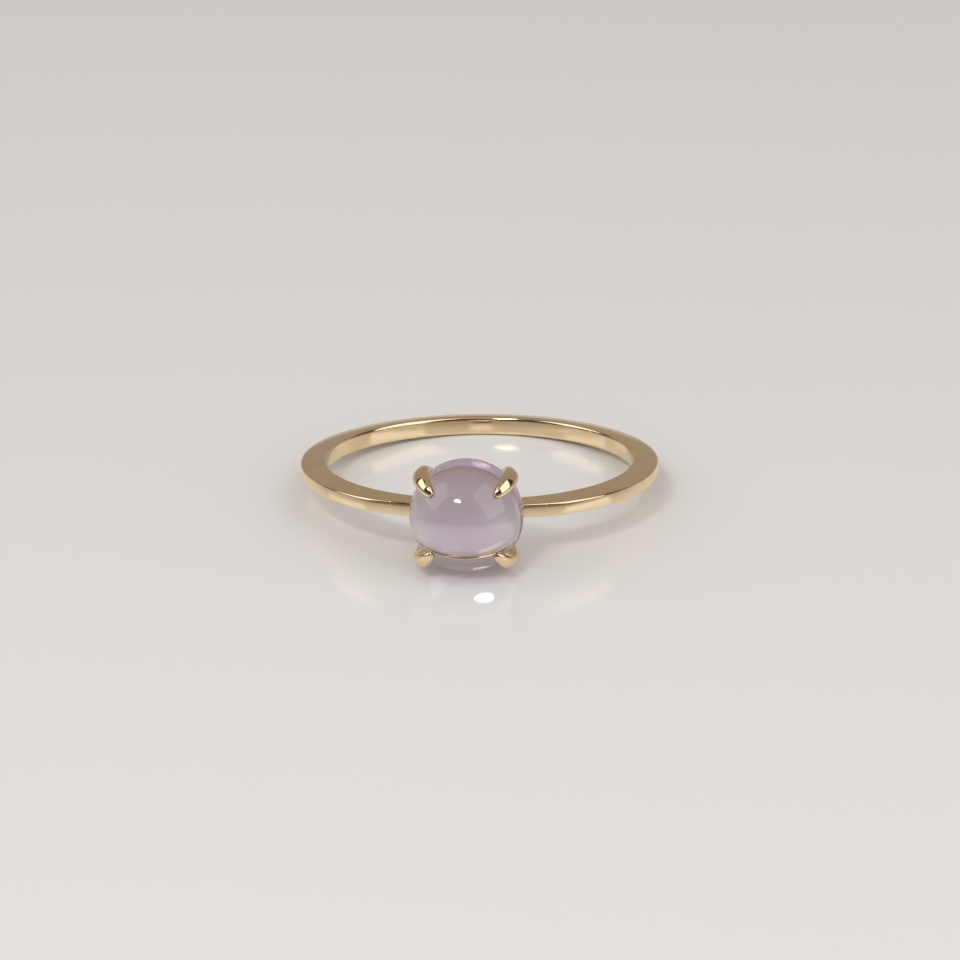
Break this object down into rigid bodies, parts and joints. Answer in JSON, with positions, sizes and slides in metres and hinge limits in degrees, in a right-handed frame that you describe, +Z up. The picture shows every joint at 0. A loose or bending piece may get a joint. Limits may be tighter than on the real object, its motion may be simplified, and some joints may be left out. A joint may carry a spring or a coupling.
{
  "type": "amethyst ring",
  "caption": "Slim yellow gold finger ring with a round domed amethyst held by claws over a small open basket, lying on its side.",
  "frame": {"origin": "on the surface that the ring lies on, under the middle of its outline", "axes": "+Z up from that surface, the stone faces -Y, +X across the ring"},
  "size_m": [0.0194, 0.0222, 0.006],
  "materials": {
    "gold": "polished pale yellow gold",
    "amethyst": "polished, clear pale lilac"
  },
  "bodies": {
    "root": {"gold_ring": "gold", "amethyst": "amethyst"}
  },
  "joints": []
}
